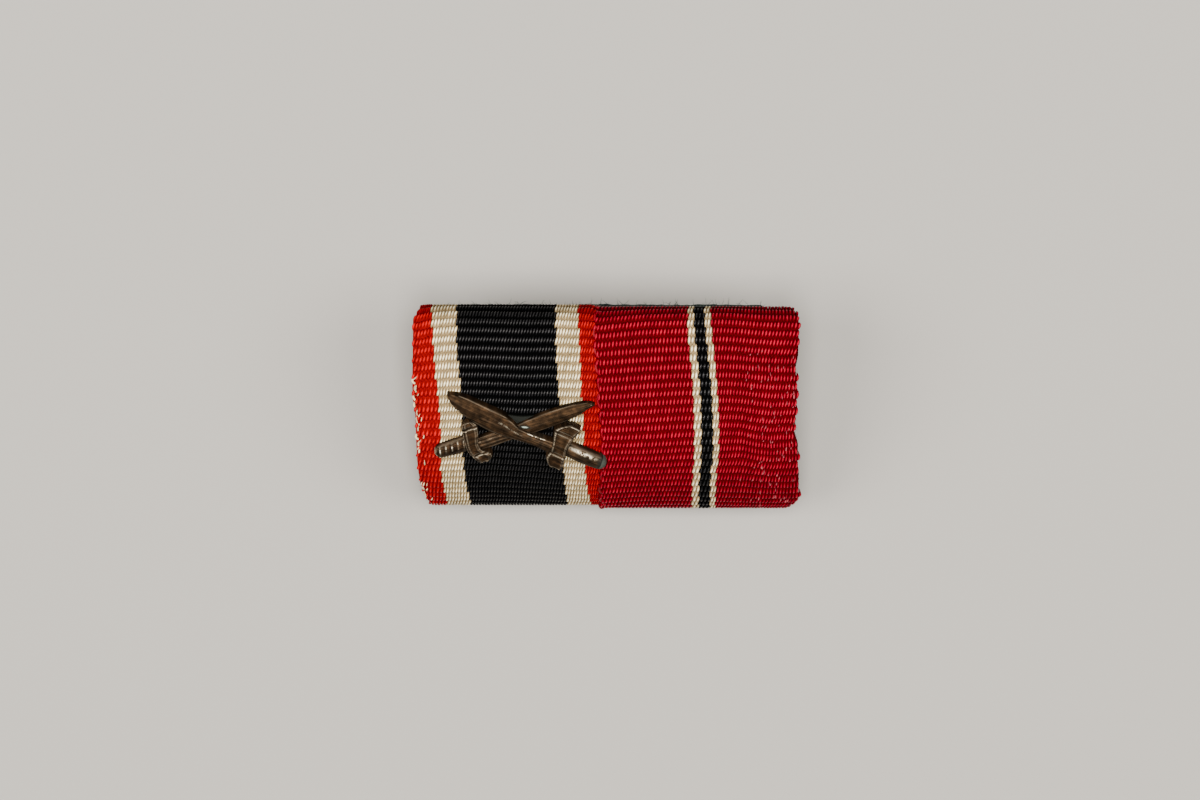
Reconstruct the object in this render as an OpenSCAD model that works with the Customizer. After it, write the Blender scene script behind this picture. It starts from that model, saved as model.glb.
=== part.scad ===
// A two-place ribbon bar, lying face up on its brooch pin.
// Two corded ribbons are wrapped round a domed core, side by side. Felt covers the back,
// a brooch pin is fixed behind the core, and small crossed swords sit on the left ribbon.
// The bar is drawn flat: X along it, Y up its face, Z out of its face, with Z = 0 at the
// back of the folded cloth. It is then turned to lie on its felt edge and its pin.

/* [Wrapped bar] */
// Height of the bar from the lower fold to the upper fold
bar_h = 17.2; // [14:0.1:24]
// Depth of the bar from the back of the cloth to the crest of the dome
bar_d = 5.1; // [4.4:0.1:7]
// Height of the crest of the dome above the lower fold
crest_h = 7.7; // [6:0.1:10]
// Outer radius of the cloth where it folds over to the back
fold_r = 1.5; // [1.4:0.05:2.1]
// Fullness of the dome above its crest, where 2 is an ellipse
upper_fullness = 2.3; // [1.9:0.05:2.7]
// Fullness of the dome below its crest
lower_fullness = 1.6; // [1.5:0.05:2.4]

/* [Ribbons] */
// Width of the left ribbon from selvedge to seam
left_w = 13.7; // [10:0.1:30]
// Width of the right ribbon from seam to selvedge
right_w = 15.3; // [10:0.1:30]
// Thickness of the cloth to the top of its ribs
cloth_t = 1.2; // [1:0.05:1.3]
// Spacing of the ribs
rib_pitch = 0.7; // [0.6:0.05:1.4]
// Depth of the groove between two ribs
rib_groove = 0.2; // [0.1:0.01:0.3]
// How far the rounded selvedge falls below the face
selvedge_drop = 0.3; // [0.1:0.05:0.4]
// Width of the rounded selvedge
selvedge_w = 0.35; // [0.2:0.05:0.8]
// Gap between the two ribbons at the seam
seam_gap = 0.1; // [0.05:0.01:0.3]
// Length of the flap turned to the back at the upper fold
upper_flap = 2.6; // [1:0.1:2.9]
// Length of the flap turned to the back at the lower fold
lower_flap = 4; // [1:0.1:5]

/* [Core] */
// Clearance between the cloth and the core
core_fit = 0.1; // [0.05:0.01:0.15]
// How far each end of the core stays inside the selvedges
core_inset = 1.6; // [1:0.1:4]

/* [Backing felt] */
// Thickness of the felt
felt_t = 1; // [1:0.1:2]
// Clearance between the felt and the cloth
felt_fit = 0.05; // [0.02:0.01:0.1]
// How far the felt stays below the upper fold
felt_top_inset = 1; // [0.6:0.1:3]
// How far the felt stays above the lower fold
felt_bottom_inset = 1.2; // [0.8:0.1:3]
// How far each end of the felt stays inside the selvedges
felt_side_inset = 1.7; // [1:0.1:3]
// Radius of the corners of the felt
felt_corner_r = 1.5; // [0.5:0.1:3]

/* [Brooch pin] */
// Drop of the pin below the upper fold
pin_drop = 6.2; // [5.8:0.1:6.4]
// Length of the fixing strip behind the core
strip_l = 24; // [20:0.5:28]
// Width of the fixing strip
strip_w = 2.6; // [2:0.1:2.8]
// Thickness of the fixing strip
strip_t = 0.6; // [0.4:0.05:0.8]
// Distance between the hinge and the catch
pin_span = 20; // [14:0.5:23]
// Diameter of the pin wire
wire_d = 0.9; // [0.6:0.05:1.2]
// Depth of the middle of the wire behind the cloth
wire_depth = 3.25; // [2.8:0.05:4]
// Radius of the rolled hinge
hinge_r = 0.9; // [0.7:0.05:1.2]
// Length of the rolled hinge, across the wire
hinge_roll_l = 1.6; // [1.2:0.1:2.2]
// Length of the rolled catch, along the wire
catch_roll_l = 2; // [1.4:0.1:3]
// Thickness of the legs of the hinge and the catch
leg_t = 0.8; // [0.6:0.05:1.2]
// Clearance round each leg where it passes through the felt
leg_fit = 0.2; // [0.1:0.05:0.5]

/* [Crossed swords] */
// Length of the upper sword
upper_sword_l = 13.4; // [8:0.1:16]
// Length of the lower sword
lower_sword_l = 12.8; // [8:0.1:16]
// Width of a blade at its widest
blade_w = 1.5; // [1:0.05:2]
// Angle between each sword and the middle line of the device
sword_angle = 21.5; // [15:0.5:35]
// Turn of the whole device, clockwise from the ribbon's ribs
device_turn = 3.5; // [-10:0.5:10]
// Thickness of a blade at its edges
edge_t = 0.4; // [0.25:0.05:0.8]
// Height of the ridge of the blades above their edges
ridge_t = 0.3; // [0.1:0.05:0.5]
// How far the upper sword is raised where it crosses the other
cross_lift = 0.35; // [0.1:0.05:0.6]
// Radius of the grips
grip_r = 0.62; // [0.4:0.02:0.9]
// Length of a guard across its sword
guard_l = 3.6; // [1.6:0.1:4]
// Width of a guard along its sword
guard_w = 1.3; // [0.5:0.05:1.6]
// Gap between the device and the ribs below it
device_fit = 0.05; // [0.02:0.01:0.1]

/* [Hidden] */

// Points on each rib: one in its groove and two on its top
RIB_STEPS = 3;
// Steps round a fold and over each half of the dome, for a smooth line and for a plain one
FINE = [8, 32];
PLAIN = [3, 11];
// Reach to each side of a point for its normal, as a share of the wrap
NORMAL_SHARE = 0.008;
// Part of the wrap, from each end, over which the bow of the ribs fades in
BOW_FADE_SHARE = 0.125;

bar_w = left_w + seam_gap + right_w;

// Outline of the left selvedge
// columns: share of the way round the wrap, inset as a share of the left ribbon's width
LEFT_EDGE = [
    [0, 0.1], [0.067, 0.098], [0.09, 0.044], [0.126, 0], [0.33, 0], [0.43, 0.008],
    [0.54, 0.014], [0.64, 0.02], [0.71, 0.024], [0.755, 0.035], [0.805, 0.061],
    [0.86, 0.088], [1, 0.1]
];
// Line of the seam between the ribbons
// columns: share of the way round the wrap, shift to the right as a share of the left ribbon's width
SEAM_LINE = [
    [0, 0.011], [0.067, 0.011], [0.14, -0.007], [0.26, 0.007], [0.39, 0.02],
    [0.56, 0.04], [0.69, 0.031], [1, 0.033]
];
// Outline of the right selvedge, puckered below the middle
// columns: share of the way round the wrap, inset as a share of the right ribbon's width
RIGHT_EDGE = [
    [0, 0.08], [0.067, 0.067], [0.09, 0.03], [0.13, 0.007], [0.2, 0.005], [0.25, 0.018],
    [0.285, 0.022], [0.41, 0.013], [0.54, 0.027], [0.57, 0.016], [0.605, 0], [0.64, 0.003],
    [0.707, 0.016], [0.745, 0.005], [0.78, 0], [0.82, 0.01], [0.85, 0.034], [1, 0.06]
];
// Line of the ribs across each ribbon
// columns: share of the way across, fall of the ribs in rib pitches
LEFT_BOW = [[0, -0.15], [0.4, 0], [1, 0.3]];
RIGHT_BOW = [[0, 0.45], [0.1, 0.4], [0.38, 0], [0.64, -0.25], [0.8, 0.1], [0.9, 0.43], [1, 0.45]];
// Dents in the face of each ribbon
// columns: share across, share round the wrap, half width, half length, depth as a share of the cloth
LEFT_DENTS = [[0.03, 0.66, 0.1, 0.08, 0.08]];
RIGHT_DENTS = [[0.9, 0.585, 0.17, 0.07, 0.25], [0.04, 0.3, 0.08, 0.1, 0.08]];
// Places where a cross-section of a ribbon is set, as shares of the way across
LEFT_STATIONS = [0.15, 0.38, 0.62, 0.85];
RIGHT_STATIONS = [0.1, 0.25, 0.4, 0.55, 0.68, 0.77, 0.84, 0.9, 0.95];

// One side of a sword's plan
// columns: share of its length from the tip, half width as a share of the blade's width,
// side bend as a share of its length
BLADE = [
    [0, 0.06, 0.022], [0.05, 0.3, 0.015], [0.14, 0.46, 0.006], [0.26, 0.5, -0.004],
    [0.38, 0.47, -0.011], [0.5, 0.4, -0.015], [0.62, 0.36, -0.014], [0.74, 0.34, -0.008]
];
// Where the guard and the grip begin and end, as shares of the sword's length
GUARD_SHARE = 0.745;
GRIP_SHARES = [0.765, 0.97];
GRIP_RINGS = 7;
// Radius between two rings and at the end of the pommel, as shares of the grip's
RING_WAIST_RATIO = 0.86;
POMMEL_END_RATIO = 0.55;
// One half of a guard
// columns: share of its length from the sword's middle line, shift along the sword and width
// as shares of its width, height as a share of the blade's
GUARD = [[0, 0, 0.85, 1.15], [0.36, 0.05, 0.6, 0.95], [0.28, 0.2, 0.95, 1], [0.5, 0.35, 0.7, 0.6]];
// Half length of the web at the crossing, and its lower and upper side, as shares of a sword's length
WEB_U_SHARE = 0.08;
WEB_W_SHARES = [-0.055, 0.065];
// Middle of the device as shares of the left ribbon's width and of the way round the wrap
DEVICE_SHARES = [0.585, 0.497];

// Layers of the wrap

// One quarter of the dome: a reaches sideways, b reaches up, n is the fullness
function quarter(a, b, n, steps) =
    [for (i = [0:steps]) let (q = 90 * i / steps) [a * pow(cos(q), 2 / n), b * pow(sin(q), 2 / n)]];

// Line of the layer at depth d under the rib tops, from the upper back fold round to the lower one
function layer(d, steps) =
    let (
        up = quarter(bar_h - crest_h - d, bar_d - fold_r - d, upper_fullness, steps[1]),
        down = quarter(crest_h - d, bar_d - fold_r - d, lower_fullness, steps[1]),
        r = fold_r - d
    ) concat(
        [for (i = [0:steps[0] - 1]) let (q = 90 * i / steps[0])
            [bar_h - fold_r + r * sin(q), fold_r - r * cos(q)]],
        [for (p = up) [crest_h + p[0], fold_r + p[1]]],
        [for (i = [steps[1] - 1:-1:0]) [crest_h - down[i][0], fold_r + down[i][1]]],
        [for (i = [steps[0] - 1:-1:0]) let (q = 90 * i / steps[0])
            [fold_r - r * sin(q), fold_r - r * cos(q)]]
    );

// Distance along a line of points, up to each point
function lengths(p) = [for (i = 0, s = 0; i < len(p); i = i + 1,
    s = s + (i < len(p) ? norm(p[i] - p[i - 1]) : 0)) s];

// The same line as [share of its length, y, z]
function with_shares(p) = let (s = lengths(p)) [for (i = [0:len(p) - 1])
    [s[i] / s[len(p) - 1], p[i][0], p[i][1]]];

FACE = layer(0, FINE);
WRAP_L = lengths(FACE)[len(FACE) - 1];
FACE_Y = [for (p = with_shares(FACE)) [p[0], p[1]]];
FACE_Z = [for (p = with_shares(FACE)) [p[0], p[2]]];
RIBS = round(WRAP_L / rib_pitch);

// Point on the rib tops at share t of the wrap
function face(t) = [lookup(t, FACE_Y), lookup(t, FACE_Z)];

// Inward normal there
function inward(t) =
    let (d = face(min(t + NORMAL_SHARE, 1)) - face(max(t - NORMAL_SHARE, 0))) [-d[1], d[0]] / norm(d);

// Point at depth d under the rib tops
function under(t, d) = face(t) + d * inward(t);

// Ribbons

function smooth_step(q) = q <= 0 ? 0 : q >= 1 ? 1 : q * q * (3 - 2 * q);

function dent_at(dents, u, t) = cloth_t * sum_of([for (c = dents)
    c[4] * smooth_step(1 - abs(u - c[0]) / c[2]) * smooth_step(1 - abs(t - c[1]) / c[3])]);

function sum_of(v) = v * [for (x = v) 1];

// The ribs run straight at the two back folds, so the bow fades out there
function bow_at(bow, u, t) = lookup(u, bow) / RIBS * min(1, t / BOW_FADE_SHARE, (1 - t) / BOW_FADE_SHARE);

// x of the two edges of each ribbon at share t
function seam_x(t) = -bar_w / 2 + left_w * (1 + lookup(t, SEAM_LINE));
function left_sides(t) = [-bar_w / 2 + left_w * lookup(t, LEFT_EDGE), seam_x(t)];
function right_sides(t) = [seam_x(t) + seam_gap, bar_w / 2 - right_w * lookup(t, RIGHT_EDGE)];

// Stations with the rounded selvedges added: [share across, fall of the face, rise of the inside]
function stations(shares, w) = let (e = selvedge_w / w) concat(
    [[0, selvedge_drop, selvedge_drop / 2], [e, 0, 0]],
    [for (u = shares) [u, 0, 0]],
    [[1 - e, 0, 0], [1, selvedge_drop, selvedge_drop / 2]]
);

// A ribbon wrapped round the core, with its left and right edges at share t from sides(t)
module ribbon(shares, w, dents, bow, sides) {
    rows = stations(shares, w);
    steps = RIBS * RIB_STEPS;
    inside = with_shares(layer(cloth_t, PLAIN));
    place = function (t, u, p) [lerp(sides(t), u), p[0], p[1]];
    outer = function (st) concat(
        [place(0, st[0], [bar_h - fold_r - upper_flap, st[1]])],
        [for (j = [0:steps]) let (
                t = j / steps,
                groove = j % RIB_STEPS == 0 ? rib_groove : 0,
                d = groove + st[1] + dent_at(dents, st[0], t)
            ) place(t, st[0], under(t + bow_at(bow, st[0], t), d))],
        [place(1, st[0], [fold_r + lower_flap, st[1]])]
    );
    inner = function (st) concat(
        [place(0, st[0], [bar_h - fold_r - upper_flap, cloth_t - st[2]])],
        [for (p = inside) place(p[0], st[0], [p[1], p[2]] + st[2] * toward_face(p))],
        [place(1, st[0], [fold_r + lower_flap, cloth_t - st[2]])]
    );
    m = steps + 3;
    k = len(inside) + 2;
    points = [for (st = rows) each concat(outer(st), inner(st))];
    n = m + k;
    last = (len(rows) - 1) * n;
    faces = concat(
        [for (i = [0:len(rows) - 2], j = [0:m - 2]) each quad(i * n + j, i * n + j + 1, n)],
        [for (i = [0:len(rows) - 2], j = [0:k - 2]) each quad(i * n + m + j + 1, i * n + m + j, n)],
        [for (i = [0:len(rows) - 2]) each quad(i * n + m, i * n, n)],
        [for (i = [0:len(rows) - 2]) each quad(i * n + m - 1, i * n + n - 1, n)],
        cap(0, m, k, false),
        cap(last, m, k, true)
    );
    polyhedron(points, faces);
}

function lerp(ends, u) = ends[0] + (ends[1] - ends[0]) * u;

// From a point of the inner skin outward, away from the middle of the bar
function toward_face(p) = let (d = [p[1], p[2]] - [min(max(p[1], fold_r), bar_h - fold_r), fold_r])
    norm(d) == 0 ? [0, 0] : d / norm(d);

// Two triangles between neighbouring points a and b and the same points one section on
function quad(a, b, n) = [[a, b + n, b], [a, a + n, b + n]];

// Strip of triangles that closes the end of a section with m outer and k inner points
function cap(start, m, k, far) =
    let (mate = function (j) floor(j * (k - 1) / (m - 1)))
    [for (j = [0:m - 2]) each concat(
        [turned([start + j, start + j + 1, start + m + mate(j)], far)],
        mate(j + 1) > mate(j)
            ? [turned([start + j + 1, start + m + mate(j + 1), start + m + mate(j)], far)] : []
    )];
function turned(f, far) = far ? [f[2], f[1], f[0]] : f;

module left_ribbon() {
    color("#b3161c") ribbon(LEFT_STATIONS, left_w, LEFT_DENTS, LEFT_BOW, function (t) left_sides(t));
}

module right_ribbon() {
    color("#a3102a") ribbon(RIGHT_STATIONS, right_w, RIGHT_DENTS, RIGHT_BOW, function (t) right_sides(t));
}

// Core

// Depth of the back of the core
core_back = cloth_t + core_fit;
core_l = bar_w - 2 * core_inset;

module base_bar() {
    color("#8a7a60")
        translate([-core_l / 2, 0, 0])
            rotate([90, 0, 90])
                linear_extrude(core_l)
                    polygon(layer(core_back, PLAIN));
}

// Height of the pin above the lower fold
pin_h = bar_h - pin_drop;

// Backing felt

felt_l = bar_w - 2 * felt_side_inset;
felt_h = bar_h - felt_top_inset - felt_bottom_inset;
felt_back = felt_fit + felt_t;

module rounded_plate(l, h, r) {
    translate([-l / 2, r]) square([l, h - 2 * r]);
    translate([r - l / 2, 0]) square([l - 2 * r, h]);
    for (x = [r - l / 2, l / 2 - r], y = [r, h - r]) translate([x, y]) circle(r, $fn = 48);
}

module backing_felt() {
    color("#1f3a35") difference() {
        translate([0, felt_bottom_inset, -felt_back])
            linear_extrude(felt_t) rounded_plate(felt_l, felt_h, felt_corner_r);
        leg_hole(-pin_span / 2, leg_t, hinge_roll_l);
        leg_hole(pin_span / 2, catch_roll_l, leg_t);
    }
}

module leg_hole(x, l, w) {
    translate([x - l / 2 - leg_fit, pin_h - w / 2 - leg_fit, -2 * felt_back])
        cube([l + 2 * leg_fit, w + 2 * leg_fit, 3 * felt_back]);
}

// Brooch pin

strip_back = core_back - felt_fit - strip_t;

module leg(x, l, w) {
    translate([x - l / 2, pin_h - w / 2, -wire_depth]) cube([l, w, wire_depth + strip_back + strip_t / 2]);
}

module brooch_pin() {
    color("#a39a86") {
        translate([-strip_l / 2, pin_h - strip_w / 2, strip_back]) cube([strip_l, strip_w, strip_t]);
        leg(-pin_span / 2, leg_t, hinge_roll_l);
        leg(pin_span / 2, catch_roll_l, leg_t);
        translate([-pin_span / 2, pin_h + hinge_roll_l / 2, -wire_depth])
            rotate([90, 0, 0]) cylinder(r = hinge_r, h = hinge_roll_l, $fn = 32);
        translate([pin_span / 2 - catch_roll_l / 2, pin_h, -wire_depth])
            rotate([0, 90, 0]) cylinder(r = catch_r, h = catch_roll_l, $fn = 32);
        translate([-pin_span / 2, pin_h, -wire_depth])
            rotate([0, 90, 0]) cylinder(d = wire_d, h = pin_span, $fn = 32);
    }
}

// Crossed swords

device_x = -bar_w / 2 + left_w * DEVICE_SHARES[0];

// Point on the device: u to the right, w up the face, h above its back, all from its middle
function device_point(u, w, h) = let (
        x = u * cos(device_turn) + w * sin(device_turn),
        up = w * cos(device_turn) - u * sin(device_turn),
        p = under(DEVICE_SHARES[1] - up / WRAP_L, -device_fit - h)
    ) [device_x + x, p[0], p[1]];

// A sword is [its length, 1 if its tip points right or -1 if left, how far it is raised,
// where it crosses the other as a share of its length from the tip]
UPPER_SWORD = [upper_sword_l, -1, cross_lift, 0.46];
LOWER_SWORD = [lower_sword_l, 1, 0, 0.475];

// Point on a sword: a along it from its tip, b to its upper side, h above its back
function sword_point(sword, a, b, h) = let (along = sword[3] * sword[0] - a)
    device_point(
        sword[1] * (along * cos(sword_angle) - b * sin(sword_angle)),
        along * sin(sword_angle) + b * cos(sword_angle),
        h
    );

// Solid skin round a set of points
module skin(points) {
    hull() polyhedron(points, [for (i = [0:len(points) - 3]) [i, i + 1, i + 2]]);
}

// Five points across a blade: back, edges and ridge
function blade_section(sword, row) = let (
        a = row[0] * sword[0],
        half = row[1] * blade_w,
        mid = row[2] * sword[0],
        edge = edge_t + sword[2]
    ) [
        sword_point(sword, a, mid - half, 0),
        sword_point(sword, a, mid + half, 0),
        sword_point(sword, a, mid - half, edge),
        sword_point(sword, a, mid + half, edge),
        sword_point(sword, a, mid, edge + ridge_t)
    ];

module blade(sword) {
    for (i = [0:len(BLADE) - 2])
        skin(concat(blade_section(sword, BLADE[i]), blade_section(sword, BLADE[i + 1])));
}

// A round grip standing on the device's back
function grip_section(sword, share, r) = let (a = share * sword[0]) concat(
    [for (q = [0:45:180]) sword_point(sword, a, r * cos(q), sword[2] / 2 + r * sin(q))],
    [sword_point(sword, a, -r, 0), sword_point(sword, a, r, 0)]
);

// The grip, with rings along it or plain, and its rounded pommel end
module grip(sword, ringed) {
    steps = ringed ? 2 * GRIP_RINGS : 4;
    section = function (i) grip_section(
        sword, lerp(GRIP_SHARES, i / steps), grip_r * (ringed && i % 2 == 1 ? RING_WAIST_RATIO : 1)
    );
    for (i = [0:steps - 1]) skin(concat(section(i), section(i + 1)));
    skin(concat(section(steps), grip_section(sword, 1, grip_r * POMMEL_END_RATIO)));
}

// A flat bar across the sword, with a swelling at each end that turns to one side
module guard(sword) {
    for (end = [-1, 1]) {
        skin([for (row = [GUARD[0], GUARD[1]], c = [-1, 1], h = [0, 1]) guard_point(sword, row, end, c, h)]);
        skin([for (row = [GUARD[2], GUARD[3]], c = [-1, 1], h = [0, 1]) guard_point(sword, row, end, c, h)]);
    }
}

function guard_point(sword, row, end, c, h) = sword_point(
    sword,
    GUARD_SHARE * sword[0] + guard_w * (end * row[1] + c * row[2] / 2),
    end * row[0] * guard_l,
    h * row[3] * (edge_t + ridge_t + sword[2] / 2)
);

// Thin web of metal in the upper and side corners of the crossing
module web() {
    skin([for (u = [-1, 1], w = WEB_W_SHARES, h = [0, edge_t])
        device_point(u * WEB_U_SHARE * upper_sword_l, w * upper_sword_l, h)]);
}

module crossed_swords() {
    color("#5a4630") {
        blade(UPPER_SWORD);
        guard(UPPER_SWORD);
        grip(UPPER_SWORD, false);
        blade(LOWER_SWORD);
        guard(LOWER_SWORD);
        grip(LOWER_SWORD, true);
        web();
    }
}

// Lying on its felt edge and its pin

// It touches the surface along the lower edge of the felt, at the near corner of the hinge,
// and at the catch, whose roll is as large as the height of the wire above the surface
felt_edge = [felt_bottom_inset, -felt_back];
hinge_reach = [pin_h - hinge_roll_l / 2, -wire_depth - hinge_r] - felt_edge;
tilt = atan2(-hinge_reach[1], hinge_reach[0]);

function lying(p) = [p[0] * cos(tilt) - p[1] * sin(tilt), p[0] * sin(tilt) + p[1] * cos(tilt)];

floor_z = lying(felt_edge)[1];
catch_r = lying([pin_h, -wire_depth])[1] - floor_z;
outline_y = [for (p = concat(FACE, [[felt_bottom_inset, -felt_back], [bar_h - felt_top_inset, -felt_back]]))
    lying(p)[0]];
middle_y = (min(outline_y) + max(outline_y)) / 2;

module lie() {
    translate([0, -middle_y, -floor_z]) rotate([tilt, 0, 0]) children();
}

lie() base_bar();
lie() left_ribbon();
lie() right_ribbon();
lie() backing_felt();
lie() brooch_pin();
lie() crossed_swords();
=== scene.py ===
import math

import bmesh
import bpy
import numpy as np
from mathutils import Matrix, Vector, noise


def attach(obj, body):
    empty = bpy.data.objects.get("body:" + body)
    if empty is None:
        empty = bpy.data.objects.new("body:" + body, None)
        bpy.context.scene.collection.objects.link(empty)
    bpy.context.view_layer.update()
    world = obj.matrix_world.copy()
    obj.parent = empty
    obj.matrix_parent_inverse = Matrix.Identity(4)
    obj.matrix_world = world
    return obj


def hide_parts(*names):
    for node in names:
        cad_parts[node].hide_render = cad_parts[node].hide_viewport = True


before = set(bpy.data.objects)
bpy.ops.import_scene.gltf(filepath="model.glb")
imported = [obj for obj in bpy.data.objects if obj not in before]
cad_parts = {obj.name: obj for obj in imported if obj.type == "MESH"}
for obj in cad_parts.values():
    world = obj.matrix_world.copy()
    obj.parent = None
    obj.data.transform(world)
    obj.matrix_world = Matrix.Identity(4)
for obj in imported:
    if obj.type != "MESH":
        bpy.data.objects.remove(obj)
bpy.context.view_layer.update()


# Camera, light and floor.
# A long lens looks down on the bar, leaning a little towards its raised upper edge, under a wide
# soft light with a little more of it from the left. The floor is plain pale board.
MM = 0.001
LEAN = math.radians(9)
VIEW_WIDTH = 90.91
VIEW_DISTANCE = 1200
AIM = Vector((-0.417, 0.61, 5.0))
SENSOR = 36


def linear(hex_colour):
    """Linear RGBA of an sRGB hex colour."""
    channels = [int(hex_colour[i:i + 2], 16) / 255 for i in (1, 3, 5)]
    return [c / 12.92 if c <= 0.04045 else ((c + 0.055) / 1.055) ** 2.4 for c in channels] + [1.0]


def add(tree, kind, links=None, **settings):
    """Adds a node with its settings, and sets or links its inputs by name or number."""
    node = tree.nodes.new(kind)
    for name, value in settings.items():
        setattr(node, name, value)
    for name, value in (links or {}).items():
        if isinstance(value, bpy.types.NodeSocket):
            tree.links.new(value, node.inputs[name])
        else:
            node.inputs[name].default_value = value
    return node


def bumped(tree, strength, distance, height):
    """Normals roughened by a height, whose full depth is the distance in millimetres."""
    return add(tree, "ShaderNodeBump", {
        "Strength": strength, "Distance": distance * MM, "Height": height,
    }).outputs["Normal"]


def new_material(name):
    """An empty material and its tree."""
    material = bpy.data.materials.new(name)
    material.use_nodes = True
    material.node_tree.nodes.clear()
    return material, material.node_tree


def shade(tree, values):
    """Ends a material's tree with its shader, whose inputs are set or linked by name."""
    shader = add(tree, "ShaderNodeBsdfPrincipled", values)
    add(tree, "ShaderNodeOutputMaterial", {"Surface": shader.outputs["BSDF"]})


def placed(name, data):
    """A new object, put in the scene."""
    obj = bpy.data.objects.new(name, data)
    bpy.context.scene.collection.objects.link(obj)
    return obj


def object_from(name, points, faces):
    """A mesh object from points in metres."""
    mesh = bpy.data.meshes.new(name)
    mesh.from_pydata([tuple(p) for p in points], [], [tuple(f) for f in faces])
    mesh.update()
    return placed(name, mesh)


camera = placed("camera", bpy.data.cameras.new("camera"))
camera.data.sensor_width = SENSOR
camera.data.lens = SENSOR * VIEW_DISTANCE / VIEW_WIDTH
camera.data.clip_end = 10
camera.location = (AIM + VIEW_DISTANCE * Vector((0, math.sin(LEAN), math.cos(LEAN)))) * MM
camera.rotation_euler = (-LEAN, 0, 0)
bpy.context.scene.camera = camera

# columns: name, place in metres, width and height in metres, power in watts
for name, place, size, power in (
    ("overhead softbox", (0.0, 0.06, 0.62), (0.2, 0.4), 8.8),
    ("left softbox", (-0.42, 0.02, 0.46), (0.4, 0.4), 6.3),
    ("right softbox", (0.42, 0.04, 0.46), (0.4, 0.4), 5.6),
):
    light = placed(name, bpy.data.lights.new(name, "AREA"))
    light.data.shape = "RECTANGLE"
    light.data.size, light.data.size_y = size
    light.data.energy = power
    light.location = place
    light.rotation_euler = (-Vector(place)).to_track_quat("-Z", "Y").to_euler()

world = bpy.data.worlds.new("studio")
world.use_nodes = True
world.node_tree.nodes["Background"].inputs["Color"].default_value = linear("#f4f1ea")
world.node_tree.nodes["Background"].inputs["Strength"].default_value = 0.1
bpy.context.scene.world = world

floor_material, tree = new_material("matt board")
grain = add(tree, "ShaderNodeTexNoise", {"Scale": 900.0, "Detail": 4.0})
shade(tree, {
    "Base Color": linear("#8a857d"), "Roughness": 0.9,
    "Normal": bumped(tree, 0.1, 0.1, grain.outputs["Fac"]),
})
# Half the width of the floor, in metres
FLOOR = 0.8
corners = [(-FLOOR, -FLOOR, 0), (FLOOR, -FLOOR, 0), (FLOOR, FLOOR, 0), (-FLOOR, FLOOR, 0)]
floor = object_from("floor", corners, [(0, 1, 2, 3)])
floor.data.materials.append(floor_material)


# Core board.
# The stiff core is layered pressed board, cut to a domed section. It shows at the open ends of the
# wraps, where its dry brown layers catch the light.
felt_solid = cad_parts["backing_felt"]
flat_face = max(felt_solid.data.polygons, key=lambda face: face.area).normal
TILT = math.atan(-flat_face.y / flat_face.z)


def compute(tree, operation, *values, **settings):
    """What a sum on numbers or sockets gives."""
    return add(tree, "ShaderNodeMath", dict(enumerate(values)), operation=operation, **settings).outputs[0]


def speckle(tree, scale, detail, place=None, **more):
    """Noise from 0 to 1 at a place, or at the object's own coordinates."""
    place = place or add(tree, "ShaderNodeTexCoord").outputs["Object"]
    return add(tree, "ShaderNodeTexNoise", {
        "Vector": place, "Scale": scale, "Detail": detail, **more,
    }).outputs["Fac"]


def ramp(tree, factor, stops, interpolation="LINEAR"):
    """Colours along a ramp, from stops in rising order, each a place and a hex colour."""
    node = add(tree, "ShaderNodeValToRGB", {"Fac": factor})
    node.color_ramp.interpolation = interpolation
    elements = node.color_ramp.elements
    for k, (place, colour) in enumerate(stops):
        element = elements[k] if k < 2 else elements.new(1.0)
        element.position = place
        element.color = linear(colour)
    return node.outputs["Color"]


board_material, tree = new_material("pressed board")
place = add(tree, "ShaderNodeTexCoord").outputs["Object"]
turned = add(tree, "ShaderNodeMapping", {"Vector": place, "Rotation": (-TILT, 0, 0)})
LAYER = 0.35
layers = add(tree, "ShaderNodeTexWave", {
    "Vector": turned.outputs["Vector"], "Scale": 1 / (LAYER * MM) / math.tau, "Distortion": 0.8,
    "Detail": 3.0, "Detail Scale": 2.0,
}, bands_direction="Z")
fibrous = compute(tree, "MULTIPLY", layers.outputs["Fac"], speckle(tree, 2600, 5, place))
shade(tree, {
    "Base Color": ramp(tree, fibrous, ((0, "#4a3826"), (0.6, "#8c7350"))), "Roughness": 0.85,
    "Normal": bumped(tree, 0.6, 0.05, fibrous),
})
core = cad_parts["base_bar"]
for slot in core.material_slots:
    slot.material = board_material


# Ribbons.
# Each is rayon rep, a ribbed weave: thick weft cords lie side by side, and the warp passes over
# them in short glossy floats. It is wrapped round the board, and its flaps are stuck to the back.

# The section of the wrap, the thickness of its cloth and the spacing of its ribs, in millimetres
BAR_H, BAR_D, CREST_H, FOLD_R = 17.2, 5.1, 7.7, 1.5
UPPER_FULLNESS, LOWER_FULLNESS = 2.3, 1.6
UPPER_FLAP, LOWER_FLAP = 2.6, 4.0
CLOTH_T = 1.2
RIB_PITCH = 0.695
# How far along the wrap the first rib of the face lies, and the number of its last one
FIRST_RIB = 2.49
LAST_RIB = 26
# The felt's lowest edge, which the bar lies on: its place on the bar, up its face and out of it, and
# its place in the frame, both in millimetres
FELT_BOTTOM, FELT_BACK = 1.2, -1.05
lowest = min((v.co for v in felt_solid.data.vertices), key=lambda co: co.z)
FELT_EDGE = (lowest.y / MM, lowest.z / MM)


def lay(points):
    """Places in metres of points on the bar, given in millimetres: along it, up its face, out of it."""
    p = np.asarray(points, float)
    up, out = p[..., 1] - FELT_BOTTOM, p[..., 2] - FELT_BACK
    return MM * np.stack([
        p[..., 0],
        FELT_EDGE[0] + up * math.cos(TILT) - out * math.sin(TILT),
        FELT_EDGE[1] + up * math.sin(TILT) + out * math.cos(TILT),
    ], axis=-1)


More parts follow.
